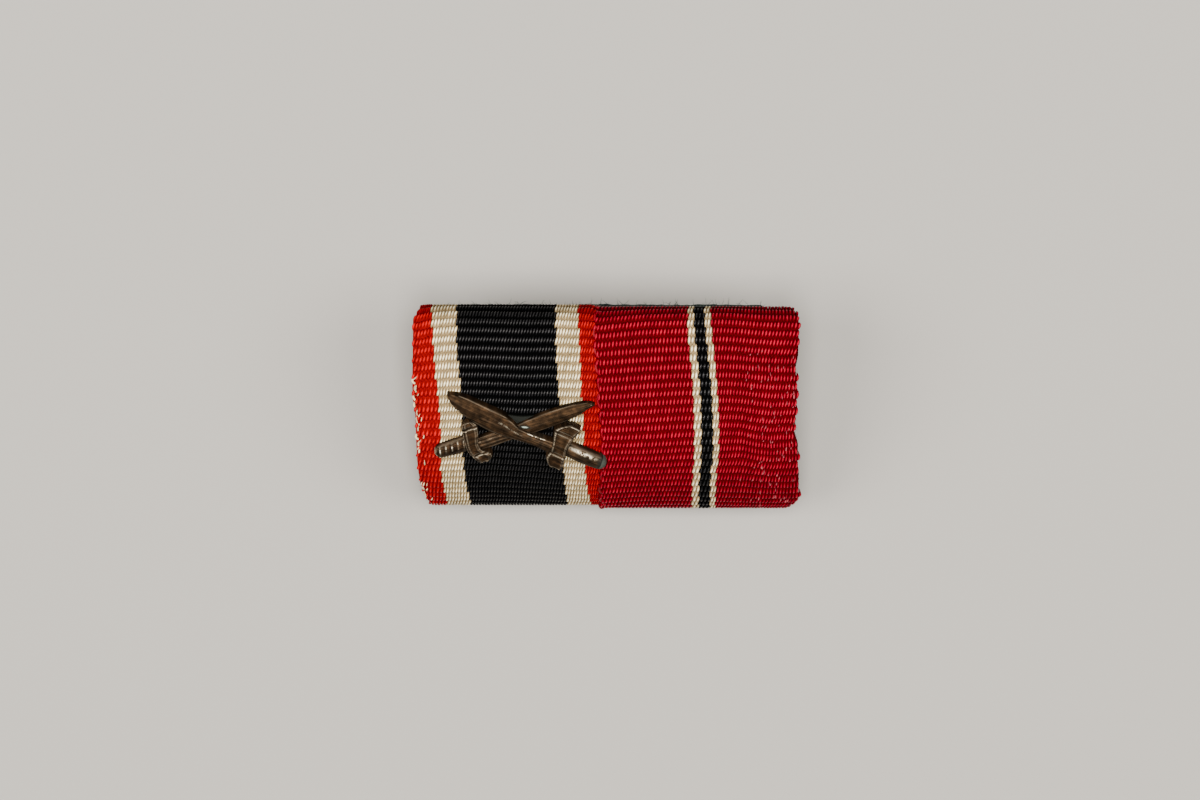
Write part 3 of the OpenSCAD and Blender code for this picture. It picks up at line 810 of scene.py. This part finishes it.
felt = in_millimetres(felt_solid, "felt_pad")
remesh = felt.modifiers.new("even mesh", "REMESH")
remesh.mode = "VOXEL"
remesh.voxel_size = FELT_VOXEL
settled(felt, 1)
outward = [vertex.normal.copy() for vertex in felt.data.vertices]
face = Vector((0, -math.sin(TILT), math.cos(TILT)))
for vertex, normal in zip(felt.data.vertices, outward):
    lump = sum(height * noise.noise(vertex.co * rate) for height, rate in FELT_LUMPS)
    if normal.dot(face) > 0.5:
        lump += FELT_SWELL
    vertex.co += normal * lump
    vertex.co.z = max(vertex.co.z, FELT_REST)
settled(felt, MM)
felt.data.shade_smooth()

felt_material, tree = new_material("pressed wool felt")
wool = speckle(tree, 2500, 6, Distortion=1.5)
shade(tree, {
    "Base Color": ramp(tree, wool, ((0.3, "#070d0b"), (0.75, "#1a2b25"))), "Roughness": 0.95,
    "Specular IOR Level": 0.0, "Sheen Weight": 0.05, "Normal": bumped(tree, 0.8, 0.06, wool),
})
felt.data.materials.append(felt_material)


def hair_shape():
    """A bent wool hair, one unit long, three-sided and pointed."""
    bends = [(0, 0), (0.05, 0.35), (0.2, 0.7), (0.45, 0.95)]
    points = []
    for i, (x, z) in enumerate(bends):
        r = HAIR_R * (1 - i / len(bends))
        points += [(x + r * math.cos(a), r * math.sin(a), z) for a in (0, math.tau / 3, 2 * math.tau / 3)]
    return object_from("hair shape", points, tube_faces(len(bends) - 1, 3))


def wool_tree():
    """Scatters short hairs over a surface, each leaning its own way."""
    tree, given = new_tree("loose wool", ("Density", "Shortest", "Longest", "Lean"))
    spots = add(tree, "GeometryNodeDistributePointsOnFaces", {
        "Mesh": given["Geometry"], "Density": given["Density"], "Seed": given["Seed"],
    })
    back = compute(tree, "MULTIPLY", given["Lean"], -1)
    low = add(tree, "ShaderNodeCombineXYZ", {0: back, 1: back, 2: -math.pi})
    high = add(tree, "ShaderNodeCombineXYZ", {0: given["Lean"], 1: given["Lean"], 2: math.pi})
    angles = add(tree, "FunctionNodeRandomValue", {
        0: low.outputs[0], 1: high.outputs[0], "Seed": given["Seed"],
    }, data_type="FLOAT_VECTOR")
    turned = turned_by(tree, spots.outputs["Rotation"], angles.outputs[0])
    size = add(tree, "FunctionNodeRandomValue", {
        2: given["Shortest"], 3: given["Longest"], "Seed": given["Seed"],
    }, data_type="FLOAT")
    return set_on(tree, given, spots.outputs["Points"], turned, size.outputs[1])


hair = hair_shape()
fuzz = placed("felt_fuzz", felt.data.copy())
grown(fuzz, wool_tree(), {
    "Shape": hair, "Density": 4.5 / MM ** 2, "Shortest": 0.25 * MM, "Longest": 0.7 * MM, "Lean": 1.1,
    "Seed": 5, "Material": yarn_material("loose green wool", "#22332c", 0.8),
})
bpy.data.objects.remove(hair)
for vertex in fuzz.data.vertices:
    vertex.co.z = max(vertex.co.z, WOOL_REST * MM)
for piece in (felt, fuzz):
    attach(piece, "root")
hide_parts("backing_felt")


# Brooch pin.
# Plated steel wire and strip: the strip is fixed behind the board, and the wire lies between a
# rolled hinge and a rolled catch. The plating has dulled, with brown spots in it.
pin = in_millimetres(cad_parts["brooch_pin"], "pin_and_strip")
bevel = pin.modifiers.new("rounded edges", "BEVEL")
bevel.width = 0.07
bevel.segments = 2
bevel.limit_method = "ANGLE"
bevel.angle_limit = math.radians(35)
settled(pin, MM)
pin.data.shade_smooth()

pin_material, tree = new_material("nickel-plated steel")
spots = speckle(tree, 900, 5)
shade(tree, {
    "Base Color": ramp(tree, spots, ((0.32, "#6a5138"), (0.46, "#b9b2a3"))), "Metallic": 1.0,
    "Roughness": rescaled(tree, spots, 0, 1, 0.6, 0.28),
})
pin.data.materials.append(pin_material)
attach(pin, "root")
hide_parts("brooch_pin")


# Crossed swords.
# One thin stamping in browned bronze: two swords with broad blades and block guards, a ringed grip
# on the left and a plain one on the right. High edges are worn bright, and green verdigris sits in
# the crossing and on the plain grip. The bright tips, blade edges and upper ring crests are partly
# painted highlights.

# length in millimetres, side that the sword's tip points to, how far it is raised at the crossing,
# and the share of its length from tip to crossing
UPPER_SWORD = {"length": 13.4, "side": -1, "lift": 0.35, "cross": 0.46}
LOWER_SWORD = {"length": 12.8, "side": 1, "lift": 0.0, "cross": 0.475}
SWORD_ANGLE = math.radians(21.5)
# How the device is turned on the ribbon, how far its back stands off the crowns of the ribs, where its
# crossing lies along the bar and along the wrap, and how thick its edge is
DEVICE_TURN = math.radians(3.5)
DEVICE_FIT = 0.05
DEVICE_X = -6.535
DEVICE_S = 0.497 * WRAP_L
EDGE_T = 0.4


def on_device(u, w, h):
    """Points on the device: u to the right, w up the face, h above its back."""
    x = DEVICE_X + u * math.cos(DEVICE_TURN) + w * math.sin(DEVICE_TURN)
    rise = w * math.cos(DEVICE_TURN) - u * math.sin(DEVICE_TURN)
    return on_wrap(x, DEVICE_S - rise, -DEVICE_FIT - h)


def from_sword(sword, a, b):
    """The place on the device of a point a along a sword from its tip and b to its upper side."""
    along = sword["cross"] * sword["length"] - a
    u = sword["side"] * (along * math.cos(SWORD_ANGLE) - b * math.sin(SWORD_ANGLE))
    return u, along * math.sin(SWORD_ANGLE) + b * math.cos(SWORD_ANGLE)


def ridge(value, middle, width):
    """A smooth swelling, 1 in its middle and 0 well beyond its width."""
    return np.exp(-((value - middle) / width) ** 2)


# Where verdigris sits in the crossing: middle and width to the right, then up
CROSSING_U, CROSSING_W = (0.42, 0.4), (0.33, 0.1)
# Metal wears where it is higher than its surroundings, which reach this many steps of the mesh. Past
# the outline they count as this much lower, so that rims wear too.
WEAR_STEPS = 2
RIM_WEAR = 0.015


def stamped(parts, sword, a, b, h, wear=0.4, rubbed_and_glint=0.0, verdigris=0.0):
    """Adds a closed skin over a grid of places on a sword, flat underneath, with its masks."""
    rows, columns = h.shape
    u, w = from_sword(sword, a, b)
    high, low = on_device(u, w, h), on_device(u, w, 0 * h)
    around = np.pad(h, WEAR_STEPS, mode="edge") - np.pad(0 * h, WEAR_STEPS, constant_values=RIM_WEAR)
    span = 2 * WEAR_STEPS + 1
    mean = sum(around[i:i + rows, j:j + columns] for i in range(span) for j in range(span)) / span ** 2
    worn = wear * np.clip((h - mean) / 0.03, 0, 1)
    green = np.maximum(verdigris + 0 * h, ridge(u, *CROSSING_U) * ridge(w, *CROSSING_W))
    start = sum(len(part["points"]) for part in parts)
    parts.append({
        "points": np.stack([high, low]).reshape(-1, 3),
        "faces": start + skin(rows, columns)[:, ::sword["side"]],
        "place": np.tile(np.stack([a, b, h], -1).reshape(-1, 3), (2, 1)),
        "worn": np.append(worn, 0 * worn),
        "rubbed_and_glint": np.tile((rubbed_and_glint + 0 * h).ravel(), 2),
        "verdigris": np.tile(green.ravel(), 2),
    })


def grid(rows, columns):
    """Shares from 0 to 1 along a part and from -1 to 1 across it."""
    return np.meshgrid(np.linspace(0, 1, rows), np.linspace(-1, 1, columns), indexing="ij")


# columns: share of the sword's length from its tip, then the lower and upper edge in millimetres
UPPER_BLADE = [[0.0, 0.40, 0.44], [0.012, 0.22, 0.53], [0.04, -0.11, 0.66], [0.07, -0.28, 0.79],
               [0.11, -0.45, 0.85], [0.15, -0.58, 0.85], [0.19, -0.70, 0.84], [0.25, -0.81, 0.82],
               [0.31, -0.87, 0.83], [0.35, -0.86, 0.78], [0.40, -0.80, 0.55], [0.45, -0.68, 0.28],
               [0.52, -0.58, 0.22], [0.58, -0.52, 0.27], [0.65, -0.54, 0.34], [0.72, -0.5, 0.36]]
LOWER_BLADE = [[0.0, 0.19, 0.29], [0.015, 0.12, 0.42], [0.05, 0.02, 0.6], [0.09, -0.17, 0.70],
               [0.13, -0.28, 0.76], [0.2, -0.42, 0.78], [0.26, -0.48, 0.77], [0.33, -0.52, 0.73],
               [0.4, -0.57, 0.62], [0.48, -0.58, 0.48], [0.56, -0.59, 0.41], [0.64, -0.66, 0.41],
               [0.74, -0.66, 0.36]]
# How far a blade is crowned, where across it its bevel starts, and how far the bevel drops
CROWN = 0.2
BEVEL_FROM, BEVEL_DROP = 0.88, 0.07


def blade(parts, sword, outline, grooves, bright):
    """A flat-crowned blade with bevelled edges, and grooves along the part next to the guard."""
    share, side = grid(150, 37)
    shares, lower, upper = zip(*outline)
    part = share * shares[-1]
    low, high = np.interp(part, shares, lower), np.interp(part, shares, upper)
    b = low + (high - low) * (side + 1) / 2
    bevel = np.clip((np.abs(side) - BEVEL_FROM) / (1 - BEVEL_FROM), 0, 1)
    h = EDGE_T + sword["lift"] + CROWN * (1 - 0.6 * np.abs(side + 0.15) ** 1.4) - BEVEL_DROP * bevel
    near_guard = np.clip((part - 0.42) / 0.08, 0, 1)
    for place, depth in grooves:
        h = h - depth * near_guard * ridge(side, place, 0.13)
    rubbed_and_glint = 0 * h
    # Bright places: metal rubbed bare, and painted highlights along the edges and at the tip.
    for first, last, place, amount in bright:
        inside = np.clip((part - first) / 0.02, 0, 1) * np.clip((last - part) / 0.02, 0, 1)
        rubbed_and_glint = np.maximum(rubbed_and_glint, amount * inside * ridge(side, place, 0.07))
    stamped(parts, sword, part * sword["length"], b, h, wear=0.15, rubbed_and_glint=rubbed_and_glint)


# Half the width of a grip, how far its axis is off at the guard, and the share at which it starts
GRIP_R = 0.6
GRIP_MIDDLE = 0.1
GRIP_FROM = 0.755


def grip(parts, sword, rings):
    """A half-round grip with a rounded pommel, ringed or plain."""
    share, side = grid(110, 31)
    rounded = np.sqrt(np.clip(1 - np.clip((share - 0.8) / 0.2, 0, 1) ** 2.4, 0, 1))
    crest = np.abs(np.sin(math.pi * (rings * share + 0.2 * side))) ** 3 if rings else 1.0
    ringed = np.where(share < 0.93, 0.82 + 0.18 * crest, 0.94)
    r = GRIP_R * np.maximum(rounded, 0.1) * (0.9 + 0.14 * np.sin(math.pi * np.clip(share * 1.1, 0, 1)))
    a = (GRIP_FROM + share * (1 - GRIP_FROM)) * sword["length"]
    crown = np.sqrt(np.clip(1 - side ** 2, 0, 1))
    h = 0.12 + sword["lift"] / 2 + r * ringed * crown
    if rings:
        # The pommel end is worn bare; the bright crests on the upper side of the rings are painted
        # highlights.
        rubbed_and_glint = 0.6 * ridge(share, 0.97, 0.03) + 0.55 * (crest > 0.86) * ridge(side, 0.4, 0.35)
        green = 0 * h
    else:
        rubbed_and_glint = 0.9 * ridge(share, 0.36, 0.26) * ridge(side, 0.62, 0.16)
        green = 0.6 * np.clip((share - 0.7) / 0.16, 0, 1)
    b = GRIP_MIDDLE * (1 - share) + side * r
    stamped(parts, sword, a, b, h, wear=0.12, rubbed_and_glint=rubbed_and_glint, verdigris=green)


# columns: millimetres to the upper side of the sword, then the edges towards its tip and its grip
UPPER_GUARD = [[-1.58, 9.7, 10.15], [-1.48, 9.35, 10.3], [-1.31, 9.1, 10.4], [-0.95, 8.84, 10.34],
               [-0.6, 8.86, 10.24], [-0.34, 8.95, 10.16], [0.0, 8.9, 10.06], [0.35, 8.82, 10.02],
               [0.8, 8.66, 10.06], [1.33, 8.5, 10.16], [1.6, 8.64, 10.24], [1.9, 8.95, 10.34],
               [2.1, 9.3, 10.34], [2.2, 9.6, 10.2]]
LOWER_GUARD = [[-1.6, 9.2, 9.6], [-1.48, 8.8, 9.75], [-1.25, 8.6, 9.93], [-1.0, 8.62, 10.05],
               [-0.72, 9.05, 10.18], [-0.4, 9.28, 10.26], [0.03, 9.33, 10.29], [0.4, 9.2, 10.28],
               [0.81, 9.03, 10.27], [1.2, 8.96, 10.22], [1.57, 8.95, 10.16], [1.8, 9.12, 10.04],
               [1.97, 9.35, 9.7]]
# How high a guard stands above the edge of the stamping, and how far its rim and its ends drop
GUARD_H = 0.45
RIM_DROP, END_DROP = 0.16, 0.1


def guard(parts, sword, outline, ridges, bands):
    """A block guard: ridges run along it, and bands cut across it."""
    share, side = grid(110, 51)
    places, near_tip, near_grip = zip(*outline)
    b = places[0] + share * (places[-1] - places[0])
    start, end = np.interp(b, places, near_tip), np.interp(b, places, near_grip)
    a = start + (end - start) * (side + 1) / 2
    along = np.abs(2 * share - 1)
    rim = np.clip((np.abs(side) - 0.9) / 0.1, 0, 1) + np.clip((along - 0.95) / 0.05, 0, 1)
    h = EDGE_T + GUARD_H + 0.5 * sword["lift"] - RIM_DROP * rim - END_DROP * along
    for place, height, width in ridges:
        h = h + height * ridge(side, place, width)
    for place, depth, width in bands:
        h = h - depth * ridge(b, place, width)
    stamped(parts, sword, a, b, h)


# A blade's grooves: place across it from -1 to 1, and depth. Its bright places, worn metal and painted
# highlights: shares of the length between which it is bright, place across it, and how much. A guard's
# ridges: place across it, height and width. Its bands: place along it in millimetres, depth and width.
parts = []
blade(parts, LOWER_SWORD, LOWER_BLADE, ((-0.62, 0.04), (-0.1, 0.05), (0.45, 0.04)),
      ((-0.1, 0.025, 0.2, 1.0), (-0.1, 0.04, -0.9, 0.8), (0.5, 0.75, 0.3, 0.1)))
guard(parts, LOWER_SWORD, LOWER_GUARD, ((-0.62, 0.1, 0.22), (0.5, 0.12, 0.2)),
      ((1.42, 0.16, 0.07), (-0.8, 0.14, 0.07)))
grip(parts, LOWER_SWORD, 6.5)
blade(parts, UPPER_SWORD, UPPER_BLADE, ((-0.2, 0.03), (0.55, 0.04)),
      ((-0.1, 0.12, -0.92, 0.8), (0.5, 0.62, 0.88, 0.9), (0.3, 0.5, 0.2, 0.2)))
guard(parts, UPPER_SWORD, UPPER_GUARD, ((-0.8, 0.08, 0.12), (0.72, 0.07, 0.14)),
      ((1.3, 0.14, 0.08), (-0.38, 0.16, 0.08)))
grip(parts, UPPER_SWORD, 0)

# The thin metal left in the upper corner of the crossing: its reach to either side, and up
WEB_U, WEB_W = 1.05, (-0.55, 1.02)
share, side = grid(40, 60)
u = side * WEB_U
w = WEB_W[0] + share * (WEB_W[1] - WEB_W[0]) + 0.12 * share * side ** 2
along = w * math.sin(SWORD_ANGLE) - u * math.cos(SWORD_ANGLE)
stamped(parts, UPPER_SWORD, UPPER_SWORD["cross"] * UPPER_SWORD["length"] - along,
        w * math.cos(SWORD_ANGLE) + u * math.sin(SWORD_ANGLE), 0.3 - 0.1 * share, verdigris=0.5)

columns = {key: np.concatenate([part[key] for part in parts]) for key in parts[0]}
swords = object_from("swords", lay(columns["points"]), columns["faces"])
for key in ("place", "worn", "rubbed_and_glint", "verdigris"):
    set_values(swords.data, key, columns[key])
face_outwards(swords.data)
swords.data.shade_smooth()
swords.data.set_sharp_from_angle(angle=math.radians(50))

bronze, tree = new_material("browned bronze")
place = stored(tree, "place", "Vector")
stretched = add(tree, "ShaderNodeMapping", {"Vector": place, "Scale": (0.3, 7.5, 1.0)})
streaks = speckle(tree, 1.6, 6, stretched.outputs["Vector"])
patina = compute(tree, "ADD", streaks, speckle(tree, 2.2, 5, place))
brown = ramp(tree, compute(tree, "MULTIPLY", patina, 0.5),
             ((0.36, "#150f09"), (0.5, "#2b1f14"), (0.68, "#4b3623")))
scuffs = compute(tree, "MULTIPLY", stored(tree, "worn"), rescaled(tree, streaks, 0.35, 0.6))
pits = speckle(tree, 2.8, 6, place, Roughness=0.7)
# Bright metal where it is rubbed: partly wear, partly painted highlights.
rubs_and_glints = compute(tree, "MULTIPLY", stored(tree, "rubbed_and_glint"), rescaled(tree, pits, 0.47, 0.53))
bare = compute(tree, "MAXIMUM", scuffs, rubs_and_glints)
verdigris = stored(tree, "verdigris")
greens = ramp(tree, verdigris, ((0.55, "#0f100b"), (1, "#8b9484")))
cover = rescaled(tree, verdigris, 0.1, 0.5)
shade(tree, {
    "Base Color": mix(tree, cover, mix(tree, bare, brown, linear("#dccdb0")), greens),
    "Metallic": rescaled(tree, cover, 0, 1, 1.0, 0.3),
    "Roughness": rescaled(tree, bare, 0, 1, 0.68, 0.38), "Specular IOR Level": 0.15,
    "Normal": bumped(tree, 0.5, 0.04, patina),
})
swords.data.materials.append(bronze)
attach(swords, "root")
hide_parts("crossed_swords")
